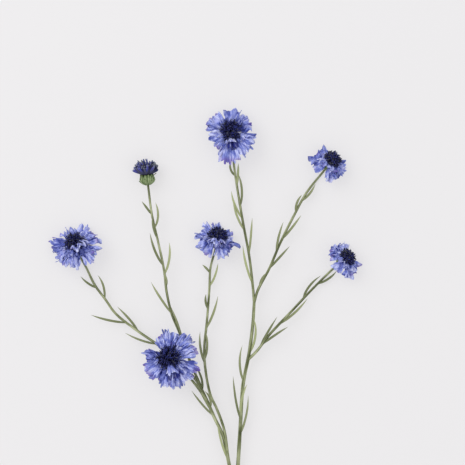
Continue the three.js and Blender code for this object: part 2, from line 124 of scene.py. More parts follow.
# A stem: points along its centre line, its radii, and its leaves.
# A leaf: distance along the stem, side (1 left, -1 right), length, lean out, curl back, lift.
STEMS = {
    "right": {
        "route": [
            (25, -218, 2), (22, -185, 2.5), (22, -150, 3.5), (25, -115, 4.5), (25, -90, 5), (26, -68, 5.5),
            (28, -34, 6), (30, -4, 6.5), (35, 22, 7), (38, 46, 7), (39, 62, 7),
        ],
        "radii": (2.1, 1.2),
        "leaves": [
            (217, 1, 30, 35, 38), (186, 1, 36, 22, 14), (174, -1, 33, 24, 24), (189, 1, 27, 14, 34, 3),
            (240, -1, 30, 30, 50),
        ],
    },
    "left": {
        "route": [
            (25, -94, 5), (22, -82, 5.5), (19, -68, 6), (14, -45, 6), (7, -30, 6), (-1, -12, 5.5),
            (-7, -1, 5),
        ],
        "radii": (1.5, 1.2),
        "leaves": [
            (30, 1, 32, 16, 16), (68, 1, 27, 26, 14), (71, 1, 33, 9, 10, 2), (75, -1, 15, 50, 70, 0),
            (90, -1, 22, 42, 46),
        ],
    },
}

# A flower: its stalk's route up to the neck, the foot of its calyx, the heading that it leans to
# (anticlockwise from +X), its lean from upright, its size, the calyx's radius, how faded its tuft is,
# the stalk's leaves, and its outer and inner ray florets.
# A ray floret: where its rim is seen from above, as a turn round the bloom and a reach from its axis
# in the bloom's own level, then its width at the rim, its pitch, its tone from -100, darkest, to 100,
# pale, which is partly the floret's own colour and partly painted light and shade (low tones partly
# paint shade, high ones partly paint light, and -100 is a dark sheet in front of a hood's mouth,
# painted shade of the hood's inside), how many percent along it its slits start, the colour of its
# tips, and its form.
# A bud's ear is the ring and the number of the bract that stands away.
PLAIN, VIOLET, DARK = range(3)
OPEN, HOOD = range(2)
Ray = namedtuple("Ray", "turn reach width pitch tone slit tips form", defaults=(70, PLAIN, OPEN))
FLOWERS = {
    "top": {
        "route": [(39, 62, 7), (38, 74, 7.5), (35, 99, 8), (30, 126, 7), (26, 150, 5), (23, 170, 1.8)],
        "foot": (21, 193, 5.2), "heading": 95, "lean": 27, "size": 1, "calyx": 3.6, "faded": 0,
        "leaves": [
            (15, 1, 32, 20, 18), (39, -1, 29, 17, 4), (58, 1, 27, 26, 26), (68, 1, 24, 30, 28),
            (78, -1, 27, 30, 38), (95, -1, 18, 18, 8), (103, 1, 13, 55, 70),
        ],
        "rays": [
            (88, 21.5, 16, 12, 45, 92), (66, 19.5, 7, 11, 60, 83), (137, 22, 15, 6, 60, 92, VIOLET),
            (160, 21.5, 10, 3, 50, 88, VIOLET), (176, 17, 8, 4, 95, 84), (-167, 19, 7, -2, 40, 73, DARK),
            (-154, 18.5, 6, -4, 60, 68, DARK), (-128, 17.5, 10, -6, 50, 78, VIOLET),
            (-113, 21, 6, -10, 60, 78, VIOLET), (-92, 26, 18, -14, 60, 92, VIOLET),
            (-60, 23.5, 8, -9, 95, 68), (-46, 22, 6, -8, 80, 63), (-28, 20.5, 11, -4, 60, 76, DARK),
            (-12, 20.5, 5, -2, 50, 58, DARK), (19, 17, 7, 8, 0, 86), (42, 19, 12, 10, 90, 88),
        ],
        "inner": [
            # The floret after the hood, at tone -100, is a dark sheet in front of its mouth: painted shade
            # of the hood's inside.
            (-87, 9, 16, 24, 100, 85, PLAIN, HOOD), (-84, 15, 8, 6, -100, 85, DARK), (-122, 11, 8, 18, 40),
            (-50, 11, 8, 15, 10), (-153, 12, 8, 15, 60), (168, 14.5, 8, 14, 90), (128, 14, 8, 16, 20),
            (95, 14, 9, 22, 30), (62, 14.5, 9, 18, 35), (36, 13.5, 7, 16, 10), (-23, 12.5, 7, 10, 70),
        ],
    },
    "upper_right": {
        "route": [(39, 62, 7), (42, 72, 7.5), (51, 89, 8), (60, 110, 8), (71, 132, 7), (81, 150, 4)],
        "foot": (96, 169, 3.4), "heading": 54, "lean": 45, "size": 0.78, "calyx": 2.8, "faded": 0.5,
        "leaves": [
            (14, 1, 12, 30, 45), (30, -1, 24, 17, 0), (44, 1, 25, 21, 18), (55, -1, 25, 17, 6),
            (80, 1, 15, 40, 50), (90, -1, 18, 32, 34),
        ],
        "rays": [
            (104, 15.5, 5, 5, 40, 70, DARK), (120, 13, 8, 0, 15, 88, DARK), (137, 12, 8, -2, 10, 90),
            (155, 13, 8, -8, 5, 88, DARK), (171, 15, 7, -12, 15, 86, DARK),
            (182, 18.5, 5, -14, 15, 70, DARK), (-149, 18.5, 11, -28, 60, 84),
            (-108, 18.5, 5, -30, 50, 60, DARK), (-98, 19.5, 11, -28, 100, 75),
            (-78, 15.5, 8, -22, 10, 70, DARK), (-62, 14.5, 8, -16, 10, 70),
            (-46, 14.5, 7, -8, 35, 65, DARK), (-26, 13.5, 7, 2, 50, 75), (-3, 13.5, 9, 12, 60, 78),
        ],
        "inner": [
            (-102, 10, 6, 18, 90), (-168, 9.5, 8, 20, 70), (150, 9, 8, 18, 45), (122, 9.5, 7, 16, 40),
            (-62, 10.5, 8, 10, 10), (-20, 10, 7, 20, 40),
        ],
    },
    "right": {
        "route": [(34, 16, 7), (41, 23, 7.5), (51, 36, 8), (68, 54, 7), (86, 73, 4)],
        "foot": (106, 92, 3.3), "heading": 40, "lean": 50, "size": 0.75, "calyx": 3, "faded": 0.5,
        "leaves": [
            (14, 1, 28, 14, 10), (17, -1, 25, 16, -6), (38, -1, 31, 18, 22), (66, 1, 24, 34, 44),
            (83, -1, 19, 34, 36),
        ],
        "rays": [
            (100, 14, 7, 10, 85, 65, DARK), (80, 15.5, 10, 14, 100, 72, DARK), (121, 12.5, 6, 6, 10, 80),
            (142, 15, 7, 2, 40, 60, DARK), (162, 14.5, 8, -3, 45, 70, VIOLET),
            (178, 15.5, 9, -9, 50, 84, VIOLET), (-134, 18.5, 10, -34, 100, 84),
            (-102, 18, 6, -30, 20, 60, DARK), (-91, 18.5, 9, -24, 100, 78),
            (-66, 14.5, 6, -12, 30, 68, VIOLET), (-44, 12.5, 7, 0, 60, 70), (-24, 13.5, 6, 3, 45, 60),
            (-8, 16.5, 4, 4, 60, 50, VIOLET),
        ],
        "inner": [
            (-132, 6, 7, 24, 90), (168, 8.5, 8, 16, 40), (-96, 9, 9, 16, 30), (-66, 9.5, 9, 16, 55),
            (-34, 10, 7, 16, 50), (135, 9, 7, 14, 20),
        ],
    },
    "centre": {
        "route": [
            (18, -61, 6), (15, -40, 7), (9, -23, 7.5), (4, -12, 8), (0, 8, 8), (-1, 25, 8), (1, 46, 8),
            (3, 72, 5.5), (4, 90, 3),
        ],
        "foot": (8, 106, 3.3), "heading": 80, "lean": 45, "size": 0.88, "calyx": 2.8, "faded": 0.4,
        "stub": 30,
        "leaves": [
            (77, 1, 26, 20, 26), (80, -1, 24, 28, 36), (105, -1, 28, 25, 18), (121, 1, 12, 35, 36),
            (139, -1, 20, 36, 28), (150, 1, 9, 34, -20),
        ],
        "rays": [
            (119, 20.5, 5, 10, 90, 68), (134, 15.5, 7, 8, 80, 75), (99, 17.5, 3, 14, 50, 70, VIOLET),
            (83, 18.5, 5, 13, 75, 70), (41, 15.5, 7, 18, 45, 70, VIOLET), (16, 12.5, 8, 22, 60, 75),
            (-6, 12, 9, 18, 75, 75), (-20, 18.5, 5, -8, 30, 55, DARK), (-36, 14.5, 7, -12, 15, 70, DARK),
            (-50, 15.5, 9, -20, 5, 75), (-63, 18.5, 7, -28, 60, 70, DARK), (-77, 20.5, 9, -32, 100, 75),
            (-90, 17.5, 7, -33, 75, 75), (-121, 19.5, 11, -33, 60, 78, VIOLET),
            (-146, 19, 5, -24, 55, 55, DARK), (-168, 15, 12, -14, 30, 82), (167, 18.5, 6, 0, 50, 62, DARK),
            (152, 15, 8, 12, 80, 70),
        ],
        "inner": [
            (-100, 3.4, 10, 42, 55), (-60, 4, 10, 42, 50), (-140, 4.1, 9, 42, 70), (-60, 9.5, 8, 8, 15),
            (-140, 9, 8, 12, 30), (172, 11.5, 7, 14, 90), (-25, 9, 7, 12, 30), (-88, 8, 6, 12, 50),
        ],
    },
    "left": {
        "route": [
            (-7, -1, 5), (-20, 14, 3), (-37, 27, 4), (-57, 41, 5.5), (-72, 53, 6), (-80, 64, 6),
            (-89, 76, 3.5), (-96, 90, 1.5),
        ],
        "foot": (-102, 102, 3.8), "heading": 105, "lean": 40, "size": 0.92, "calyx": 3.6, "faded": 0.45,
        "leaves": [
            (44, 1, 27, 30, 22), (62, -1, 26, 26, 18), (74, 1, 29, 36, 18), (100, -1, 20, 48, 42),
            (111, 1, 16, 36, 26),
        ],
        "rays": [
            (73, 21.5, 11, 10, 85, 75), (99, 16.5, 4, 12, 40, 70), (112, 19.5, 7, 10, 60, 68, DARK),
            (132, 18, 6, 9, 55, 68, VIOLET), (167, 21.5, 11, -2, 45, 76, VIOLET),
            (-171, 18.5, 7, -8, 35, 70, DARK), (-152, 17, 7, -12, 50, 70), (-134, 20, 7, -18, 65, 58),
            (-116, 21.5, 8, -25, 55, 54), (-103, 23, 8, -26, 70, 54, VIOLET), (-90, 23.5, 7, -26, 85, 54),
            (-80, 20.5, 7, -25, 75, 60), (-53, 24, 8, -18, 70, 54), (-40, 22, 8, -14, 75, 60),
            (-30, 18, 9, -10, 50, 70, VIOLET), (-21, 20.5, 5, -8, 55, 65),
            (-13, 23.5, 3, -5, 30, 40, DARK), (8, 21, 4, 0, 40, 50), (21, 19.5, 10, 6, 45, 74, VIOLET),
            (38, 18.5, 9, 8, 55, 74, VIOLET), (53, 19, 8, 9, 70, 78),
        ],
        "inner": [
            (48, 8, 10, 60, 90), (-40, 4.2, 9, 46, 95), (-78, 4, 8, 45, 60), (8, 7.5, 9, 46, 75),
            (-115, 11.5, 8, 18, 60), (-148, 11.5, 8, 20, 60), (-66, 13, 8, 2, 5), (-88, 12, 7, 6, 20),
            (-30, 12, 8, 8, 10), (25, 13.5, 9, 16, 20), (60, 15, 9, 18, 35), (108, 14.5, 8, 20, 40),
        ],
    },
    "bud": {
        "route": [
            (-3, -7, 5.5), (-12, 14, 7), (-20, 36, 8), (-27, 53, 8.5), (-31, 70, 9), (-33, 87, 9.5),
            (-38, 111, 9), (-43, 133, 8.3),
        ],
        "foot": (-46, 156, 8), "heading": 97, "lean": 86, "size": 1.05, "calyx": 5.4, "ear": (4, 0),
        "leaves": [
            (40, -1, 30, 6, 8, 2), (65, 1, 30, 22, 10), (87, -1, 12, 34, 60), (97, -1, 26, 38, 34),
            (104, 1, 28, 28, 26), (126, 1, 18, 16, 24, 2), (135, -1, 21, 50, 54), (146, 1, 13, 30, 4),
        ],
        "rays": [], "inner": [],
    },
    "front": {
        "route": [(2, -18, 5.5), (-6, -6, 10), (-16, 6, 10), (-23, 13, 8.5)],
        "foot": (-27, 17, 12), "heading": 135, "lean": 10, "size": 1.05, "calyx": 3.6, "faded": 0,
        "leaves": [],
        "rays": [
            (88, 21, 11, 5, 50, 81), (98, 24, 7, 4, 60, 66, DARK), (108, 21.5, 8, 4, 50, 76, VIOLET),
            (122, 18.5, 9, 6, 50, 80), (64, 20.5, 10, 4, 70, 78), (53, 23, 8, 3, 60, 74),
            (41, 24, 7, 3, 55, 70, DARK), (28, 22.5, 9, 3, 80, 78), (16, 22, 10, 2, 85, 80, VIOLET),
            (-20, 24.5, 9, -5, 35, 78, VIOLET), (-32, 23, 10, -6, 50, 80), (-46, 23.5, 10, -6, 95, 80),
            (-67, 24.5, 8, -7, 50, 78, DARK), (-80, 23, 10, -7, 60, 76), (-91, 24.5, 9, -7, 70, 72),
            (-104, 22, 8, -6, 30, 81, DARK), (-120, 19.5, 12, -4, 5, 88, VIOLET),
            (-147, 22, 15, -3, 60, 88, VIOLET), (-172, 19, 11, -2, 5, 86, VIOLET),
            (171, 21, 8, -2, 20, 72), (161, 18.5, 5, 0, 50, 64),
        ],
        "inner": [
            # The floret after the hood, at tone -100, is a dark sheet in front of its mouth: painted shade
            # of the hood's inside.
            (-80, 12.5, 17, 46, 65, 85, PLAIN, HOOD), (-72, 17.5, 11, 5, -100, 88, VIOLET),
            (-100, 12, 7, 14, 40), (-120, 13, 9, 8, 5), (-152, 13, 9, 10, 25), (175, 13, 8, 8, 10),
            (16, 12, 8, 15, 60), (32, 13.5, 8, 16, 50), (-27, 13, 7, 15, 60), (-44, 14, 7, 10, 10),
            (60, 13, 8, 14, 40), (85, 13, 8, 13, 30), (112, 13, 9, 12, 30),
        ],
    },
}

# ---- curves and shapes

UP = np.array([0.0, 0.0, 1.0])
STRAND_GUIDE = np.array([0.31, 0.83, 0.47])
GOLDEN_ANGLE = pi * (3 - sqrt(5))


def add_object(name, data):
    """A new object in the scene that holds a mesh, a light or a camera."""
    made = bpy.data.objects.new(name, data)
    bpy.context.scene.collection.objects.link(made)
    return made


def smooth(x, low, high):
    """0 below low, 1 above high, and a smooth step between them."""
    t = np.clip((x - low) / (high - low), 0, 1)
    return t * t * (3 - 2 * t)


def unit(vectors):
    """The vectors, each at length 1."""
    return vectors / np.maximum(np.linalg.norm(vectors, axis=-1, keepdims=True), 1e-9)


def turned(vectors, axis, angle):
    """The vectors turned about an axis by an angle in radians."""
    axis = unit(axis)
    angle = np.asarray(angle, float)[..., None]
    along = (vectors * axis).sum(-1, keepdims=True) * axis
    return (
        vectors * np.cos(angle)
        + np.cross(axis, vectors) * np.sin(angle)
        + along * (1 - np.cos(angle))
    )


class Route:
    """A smooth curve through points, a centripetal Catmull-Rom spline, measured by distance."""

    STEPS = 30
    NEAR = 0.5

    def __init__(self, points):
        points = np.asarray(points, float)
        ends = 2 * points[0] - points[1], 2 * points[-1] - points[-2]
        points = np.vstack([ends[0], points, ends[1]])
        spans = np.linalg.norm(np.diff(points, axis=0), axis=1) ** 0.5
        rows = []
        for i in range(1, len(points) - 2):
            a, b, c, d = points[i - 1:i + 3]
            before, here, after = spans[i - 1:i + 2]
            start = (b - a) / before - (c - a) / (before + here) + (c - b) / here
            end = (c - b) / here - (d - b) / (here + after) + (d - c) / after
            t = np.linspace(0, 1, self.STEPS, endpoint=False)[:, None]
            rows.append(
                b * (2 * t**3 - 3 * t**2 + 1) + c * (3 * t**2 - 2 * t**3)
                + start * here * (t**3 - 2 * t**2 + t) + end * here * (t**3 - t**2)
            )
        self.points = np.vstack(rows + [points[-2:-1]])
        steps = np.linalg.norm(np.diff(self.points, axis=0), axis=1)
        self.distances = np.concatenate([[0], np.cumsum(steps)])
        self.length = self.distances[-1]

    def at(self, distance):
        """The points at distances along the curve."""
        distance = np.atleast_1d(distance)
        return np.stack([np.interp(distance, self.distances, c) for c in self.points.T], -1)

    def direction(self, distance):
        """The curve's direction at distances along it."""
        distance = np.atleast_1d(distance)
        ahead = self.at(np.minimum(distance + self.NEAR, self.length))
        return unit(ahead - self.at(np.maximum(distance - self.NEAR, 0)))


class Shape:
    """The piece that stands in for a node: its points and faces, and its own repeatable draws.

    Each point has four marks for the material: how far along its petal, leaf or strand it is, where
    across it, a draw from 0 to 1 that its neighbours don't share, and its kind of surface.
    """

    def __init__(self, node):
        self.node = node
        self.rng = np.random.default_rng([SEED, *node.encode()])
        self.points, self.marks, self.faces, self.count = [], [], [], 0

    def add(self, points, faces, along, across, draw, kind):
        """Adds points with their marks, and faces between them."""
        count = len(points)
        marks = [np.broadcast_to(mark, count) for mark in (along, across, draw, kind)]
        self.points.append(points)
        self.marks.append(np.stack(marks, -1))
        self.faces.extend(tuple(i + self.count for i in face) for face in faces)
        self.count += count

    def finish(self, name, slot, materials, place=None):
        """Makes the piece in metres. A bloom's pieces are moved by its place: a turn and a foot."""
        points = np.vstack(self.points)
        if place is not None:
            turn, foot = place
            points = points @ turn.T + foot
        low = points[:, 2] < PRESSED
        points[low, 2] = PRESSED * np.exp(points[low, 2] / PRESSED - 1)
        mesh = bpy.data.meshes.new(name)
        mesh.from_pydata((points * MM).tolist(), [], self.faces)
        mesh.validate()
        layer = mesh.color_attributes.new("marks", "FLOAT_COLOR", "POINT")
        layer.data.foreach_set("color", np.vstack(self.marks).astype(np.float32).ravel())
        mesh.shade_smooth()
        mesh.materials.append(materials[slot])
        piece = add_object(name, mesh)
        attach(piece, "root")
        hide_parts(self.node)


def grid_faces(rows, columns, wraps=False):
    """The four-sided faces of a grid of points, closed round its columns if it wraps."""
    faces = []
    for i in range(rows - 1):
        for k in range(columns if wraps else columns - 1):
            a, b = i * columns + k, i * columns + (k + 1) % columns
            faces.append((a, b, b + columns, a + columns))
    return faces


def grid_values(rows, columns):
    """The row's and the column's value at each point of a grid."""
    return np.repeat(rows, len(columns)), np.tile(columns, len(rows))


def angles_round(sides):
    """The angles of a tube's sides."""
    return np.linspace(0, 2 * pi, sides, endpoint=False)


def add_tube(shape, centres, sides_at, radii, along, draw, kind, sides):
    """Adds a closed tube.

    sides_at gives its rings' two directions across. radii has a row for each ring, which holds one
    radius, or one for each side.
    """
    angles = angles_round(sides)
    across, above = sides_at
    rings = (
        centres[:, None]
        + radii[..., None] * np.cos(angles)[None, :, None] * across[:, None]
        + radii[..., None] * np.sin(angles)[None, :, None] * above[:, None]
    )
    rows = len(centres)
    faces = grid_faces(rows, sides, wraps=True)
    faces.append(tuple(range(sides))[::-1])
    faces.append(tuple(range((rows - 1) * sides, rows * sides)))
    marks = grid_values(along, angles / (2 * pi))
    shape.add(rings.reshape(-1, 3), faces, *marks, draw, kind)


def add_round(shape, heights, radii, along, draw, kind, sides):
    """Adds a closed round body about a bloom's axis, from its radii at heights."""
    level = np.eye(3)[:1], np.eye(3)[1:2]
    add_tube(shape, np.outer(heights, UP), level, radii[:, None], along, draw, kind, sides)


def across_of(directions, guide=UP):
    """Two directions across each of a curve's directions, the first across the guide too."""
    across = unit(np.cross(guide, directions))
    return across, np.cross(directions, across)


def add_sheet(shape, points, faces, thickness, along, across, draw, kinds):
    """Adds a thin closed sheet over a surface. kinds are the marks of its upper and under side."""
    corners = np.array(faces)
    a, b, c, d = (points[corners[:, i]] for i in range(4))
    face_normals = np.cross(c - a, d - b)
    normals = np.zeros_like(points)
    for i in range(4):
        np.add.at(normals, corners[:, i], face_normals)
    offset = unit(normals) * np.broadcast_to(thickness, len(points))[:, None] / 2
    count = len(points)
    edges = dict.fromkeys((face[i - 1], face[i]) for face in faces for i in (1, 2, 3, 0))
    walls = [(q, p, count + p, count + q) for p, q in edges if (q, p) not in edges]
    under = [tuple(count + i for i in reversed(face)) for face in faces]
    marks = [np.tile(np.broadcast_to(mark, count), 2) for mark in (along, across, draw)]
    kind = np.repeat(kinds, count)
    shape.add(np.vstack([points + offset, points - offset]), faces + under + walls, *marks, kind)


def add_blade(shape, points, shares, columns, facing, thickness, draw, kinds):
    """Adds a leaf or bract as a thin sheet over its grid. facing is -1 to turn the faces over."""
    faces = [face[::facing] for face in grid_faces(len(shares), len(columns))]
    marks = grid_values(shares, columns * 0.5 + 0.5)
    add_sheet(shape, points.reshape(-1, 3), faces, thickness, *marks, draw, kinds)


# ---- stems and leaves


def stalk_route(flower):
    """A flower stalk's centre line, from its branch to the foot of its calyx."""
    foot = np.array(flower["foot"], float)
    neck = foot - NECK * bloom_axis(flower)
    return Route([*flower["route"], neck, foot])


def add_stem(shape, route, start, end, radii):
    """Adds a ribbed stem, a little uneven along its length."""
    count = max(4, round((end - start) / STEM_STEP))
    distance = np.linspace(start, end, count)
    angles = angles_round(STEM_SIDES)
    radius = np.interp(distance / route.length, [0, 1], radii)
    knots = np.arange(0, end + SWELL_SPACING + 1, SWELL_SPACING)
    swell = 1 + SWELL * np.interp(distance, knots, shape.rng.uniform(-1, 1, len(knots)))
    ribs = 1 + RIB_DEPTH * np.cos(RIBS * angles[None] + RIB_TWIST * distance[:, None])
    sides_at = across_of(route.direction(distance))
    add_tube(
        shape, route.at(distance), sides_at, (radius * swell)[:, None] * ribs,
        distance / 100, shape.rng.uniform(), STEM, STEM_SIDES,
    )


def add_leaf(shape, route, leaf):
    """Adds a narrow pointed leaf, channelled along its midrib and a little twisted."""
    rng = shape.rng
    distance, side, length, lean, curl, lift = (*leaf, LEAF_LIFT)[:6]
    shares = np.linspace(0, 1, 19)
    columns = np.linspace(-1, 1, 7)
    direction = route.direction(distance)[0]
    turn = np.radians(side * (lean - curl * (shares + 0.12)))
    ahead = unit(turned(np.tile(direction, (len(shares), 1)), UP, turn) * (1, 1, 0))
    steps = ahead[1:] * (np.diff(shares) * length)[:, None]
    middle = route.at(distance) + np.vstack([np.zeros(3), np.cumsum(steps, axis=0)])
    rise = lift * np.sin(0.75 * pi * shares) + direction[2] * length * shares * 0.7
    middle[:, 2] += rise + 0.25 * rng.uniform(-1, 1) * np.sin(shares * rng.uniform(4, 8))
    width = (0.6 + 0.4 * smooth(shares, 0, 0.25)) * (1 - np.clip(shares * 2 - 1, 0, 0.985) ** 2.2)
    half = LEAF_WIDTH / 2 * width * rng.uniform(0.94, 1.1)
    twist = radians(rng.uniform(-LEAF_TWIST, LEAF_TWIST)) * smooth(shares, 0.1, 1)
    across = turned(np.cross(UP, ahead), ahead, twist)
    above = np.cross(ahead, across)
    waves = np.sin(9 * shares[:, None] + 4 * columns + rng.uniform(0, 6))
    fold = (LEAF_FOLD * np.abs(columns) ** 1.4 + 0.08 * waves) * half[:, None]
    points = (
        middle[:, None]
        + (half[:, None] * columns)[..., None] * across[:, None]
        + fold[..., None] * above[:, None]
    )
    thickness = LEAF_THICKNESS * np.outer(1 - 0.5 * shares, 1 - 0.45 * np.abs(columns))
    add_blade(shape, points, shares, columns, 1, thickness.ravel(), rng.uniform(), (LEAF, LEAF_BACK))


# ---- blooms


def bloom_axis(flower):
    """The direction that a bloom faces."""
    lean, heading = radians(flower["lean"]), radians(flower["heading"])
    return np.array([sin(lean) * cos(heading), sin(lean) * sin(heading), cos(lean)])


def bloom_place(flower):
    """The turn and the foot that take a bloom from its own frame to the spray's."""
    turn = Vector(UP).rotation_difference(Vector(bloom_axis(flower))).to_matrix()
    return np.array(turn), np.array(flower["foot"], float)


def urn_radius(flower, share):
    """The calyx's radius at a share of its height."""
    heights = [0, 0.08, 0.16, 0.26, 0.36, 0.47, 0.58, 0.69, 0.8, 0.9, 1]
    widths = [0.3, 0.54, 0.74, 0.9, 1.0, 1.04, 1.03, 0.98, 0.9, 0.84, 0.82]
    return flower["calyx"] * np.interp(share, heights, widths)


def add_urn(shape, flower):
    """Adds the calyx's body, which the bracts lie on."""
    shares = np.linspace(0, 1, 15)
    radii = urn_radius(flower, shares) * 0.95
    add_round(shape, shares * CALYX_HEIGHT, radii, shares, 0.5, URN, 24)


def add_bracts(shape, flower):
    """Adds the overlapping bracts in rings, each with a raised keel and a finely toothed tip."""
    rng = shape.rng
    shares = np.linspace(0, 1, 12)
    columns = np.linspace(-1, 1, 7)
    for ring, (base, reach, count) in enumerate(BRACT_RINGS):
        for k in range(count):
            middle = 2 * pi * (k + 0.5 * (ring % 2) + rng.uniform(-0.08, 0.08)) / count
            curl = rng.uniform(0, 0.5)
            if flower.get("ear") == (ring, k):
                middle, curl = 0, EAR_CURL
            height = base + reach * rng.uniform(0.93, 1.07) * shares
            lift = 0.12 + 0.05 * ring + 0.3 * shares**2 + curl * smooth(shares, 0.6, 1)
            outline = np.clip(1 - shares**3, 0.04, 1) ** 0.7 * (0.75 + 0.25 * np.sin(pi * shares))
            teeth = 1 + 0.12 * (-1.0) ** np.arange(len(shares)) * (shares > 0.6)
            spread = pi / count * 1.2 * outline * teeth
            keel = 0.3 * np.exp(-(columns / 0.4) ** 2) - 0.25 * columns**2
            radius = (urn_radius(flower, height) + lift)[:, None] + keel
            angle = middle + spread[:, None] * columns
            rise = np.broadcast_to((height * CALYX_HEIGHT)[:, None], radius.shape)
            points = np.stack([radius * np.cos(angle), radius * np.sin(angle), rise], -1)
            add_blade(shape, points, shares, columns, -1, BRACT_THICKNESS, rng.uniform(), (BRACT, BRACT))


def ray_lie(ray, flower):
    """A ray floret's turn in degrees and its length, from where its rim is seen from above.

    A leaning bloom shows a floret that rises from the bloom's level further along its heading.
    """
    pitch, turn, heading = (radians(a) for a in (ray.pitch, ray.turn, flower["heading"]))
    shift = tan(pitch) * tan(radians(flower["lean"]))
    root = DISC_RADIUS * flower["size"] * RAY_ROOT
    a = 1 - shift**2
    b = root + shift * ray.reach * cos(turn - heading)
    out = (sqrt(b**2 + a * (ray.reach**2 - root**2)) - b) / a
    x = ray.reach * cos(turn) - shift * out * cos(heading)
    y = ray.reach * sin(turn) - shift * out * sin(heading)
    return degrees(atan2(y, x)), out / cos(pitch)


def ray_surface(ray, lie, fall, size, u, v, wave):
    """Points on a ray floret: u along it, v across it from -1 to 1, wave off the surface."""
    turn, length = lie
    fall = radians(fall)
    start = radians(ray.pitch) + fall / 2
    slope = start - fall * u
    root = DISC_RADIUS * size * RAY_ROOT
    out = root + length / fall * (sin(start) - np.sin(slope))
    up = length / fall * (np.cos(slope) - cos(start))
    opening = smooth(u, 0.18, 0.66) if ray.form == HOOD else smooth(u, 0.02, 0.4)
    tube = RAY_TUBE * size
    half = tube + (ray.width / 2 - tube) * np.sin(np.clip(u, 0, 1.1) * pi / 2) ** 1.4
    bend = np.radians(TUBE_CUP + (RAY_CUPS[ray.form] * (1 - 0.72 * u) - TUBE_CUP) * opening)
    across = (half / bend - wave) * np.sin(v * bend)
    lift = half / bend - (half / bend - wave) * np.cos(v * bend)
    if ray.form == HOOD:
        lift = HOOD_LIFT * size * smooth(u, 0, 0.2) - lift
    points = np.stack([out - lift * np.sin(slope), across, up + lift * np.cos(slope)], -1)
    return turned(points, UP, radians(turn))


def fan_places(teeth, slit, rng):
    """A ray floret's grid: a body up to the slit, then one strip for each tooth of its rim.

    Returns, for each place, u, v, the share along its tooth, the strip that it is on with the
    share across it, that tooth's curl and its draw, and then the faces.
    """
    columns = np.linspace(-1, 1, teeth * TOOTH_COLUMNS + 1)
    rows = np.linspace(0, slit, 12)
    u, v = grid_values(rows, columns)
    still = np.zeros(len(u))
    parts = [(u, v, still, (v + 1) / 2 * teeth, still, np.full(len(u), rng.uniform()))]
    faces = grid_faces(len(rows), len(columns))
    count, last_row = len(u), (len(rows) - 1) * len(columns)
    splits = rng.uniform(0.2, 0.75, teeth + 1) * (rng.uniform(size=teeth + 1) > 0.2)
    splits[[0, -1]] = 0
    sides = np.linspace(-1, 1, TOOTH_COLUMNS + 1)
    upward = rng.choice([-1, 1])
    for tooth in range(teeth):
        middle = -1 + (2 * tooth + 1) / teeth
        reach = rng.uniform(0.93, 1.12) - 0.14 * abs(middle) ** 3
        share, side = grid_values(TOOTH_ROWS, sides)
        blunt = rng.uniform(2.2, 4.5)
        rounded = np.sqrt(1 - 0.94 * np.clip((share - 0.4) / 0.6, 0, 1) ** blunt)
        split = np.where(side < 0, splits[tooth], splits[tooth + 1])
        gap = rng.uniform(0.05, 0.4) * smooth(share - split, 0, 0.35)
        breadth = (1 - gap + 0.2 * share) * rounded / teeth
        sway = rng.uniform(-0.7, 0.7) / teeth
        upward = -upward if rng.uniform() < 0.75 else upward
        curl = upward * rng.uniform(0.3, 1)
        parts.append((
            slit + (reach - slit) * share,
            middle + side * breadth + sway * share**2,
            share, tooth + (side + 1) / 2, np.full(len(share), curl),
            np.full(len(share), rng.uniform()),
        ))
        root = last_row + tooth * TOOTH_COLUMNS
        ids = [*range(root, root + len(sides)), *range(count, count + len(share))]
        strip = grid_faces(len(TOOTH_ROWS) + 1, len(sides))
        faces.extend(tuple(ids[i] for i in face) for face in strip)
        count += len(share)
    return (*(np.concatenate(part) for part in zip(*parts)), faces)


def crumple(x, y, rng):
    """Small random folds over a petal, from waves of several lengths and directions."""
    folds = np.zeros_like(x)
    for length in CRUMPLE_LENGTHS:
        angle = rng.uniform(-1.3, 1.3)
        phase = (x * cos(angle) + y * sin(angle)) * 2 * pi / length
        folds += CRUMPLE * length * np.sin(phase + rng.uniform(0, 6.3)) / 2
    return folds


def add_ray(shape, ray, fall, flower, level):
    """Adds a ray floret: a tube that opens into a ruffled fan, its rim cut into blunt teeth."""
    rng = shape.rng
    size, tone, slit = flower["size"], ray.tone / 100, ray.slit / 100
    lie = ray_lie(ray, flower)
    teeth = max(2, round(ray.width / TOOTH_SPACING))
    u, v, share, strip, curl, draw, faces = fan_places(teeth, slit, rng)
    phase, waves = rng.uniform(0, 6.3), rng.uniform(1.2, 2.3)
    ruffle = RUFFLE * (1 + flower["faded"]) * smooth(u, 0.2, 1)
    ruffle = ruffle * np.sin(waves * pi * v + phase + 2 * u)
    pleat = PLEAT * smooth(u, 0.15, 0.6) * np.cos(2 * pi * (strip - 0.5))
    folds = crumple(v * ray.width / 2, u * lie[1], rng) * smooth(u, 0.1, 0.6)
    edge = rng.uniform(-1, 1) * EDGE_BEND * u * smooth(np.abs(v), 0.5, 1)
    wave = size * (ruffle + pleat + folds + edge + TOOTH_CURL * curl * smooth(share, 0, 1))
    if ray.form == HOOD:
        wave *= HOOD_CALM
    points = ray_surface(ray, lie, fall, size, u, v, wave) + UP * level
    thickness = RAY_THICKNESS * (1 - 0.4 * smooth(u, 0.5, 1))
    along = np.where(share > 0, slit + (1 - slit) * share, u)
    across = strip + 16 * rng.integers(0, 50)
    low, high = TIP_DRAWS[ray.tips]
    draw = low + (high - low) * draw
    # A hood's inner side gets tone 0 and its outer side the floret's tone: the darker inside is painted
    # shade.
    kinds = (0, tone) if ray.form == HOOD else (tone, tone)
    add_sheet(shape, points, faces, thickness, along, across, draw, kinds)


def add_ray_disc(shape, flower):
    """Adds the small disc that carries the ray florets."""
    heights = np.array([0, 0.3, 0.7, 1]) * DISC_HEIGHT + CALYX_HEIGHT + GAP
    radii = np.array([0.78, 0.92, 0.96, 0.8]) * DISC_RADIUS * flower["size"]
    add_round(shape, heights, radii, np.zeros(4), 0.3, 0, 20)


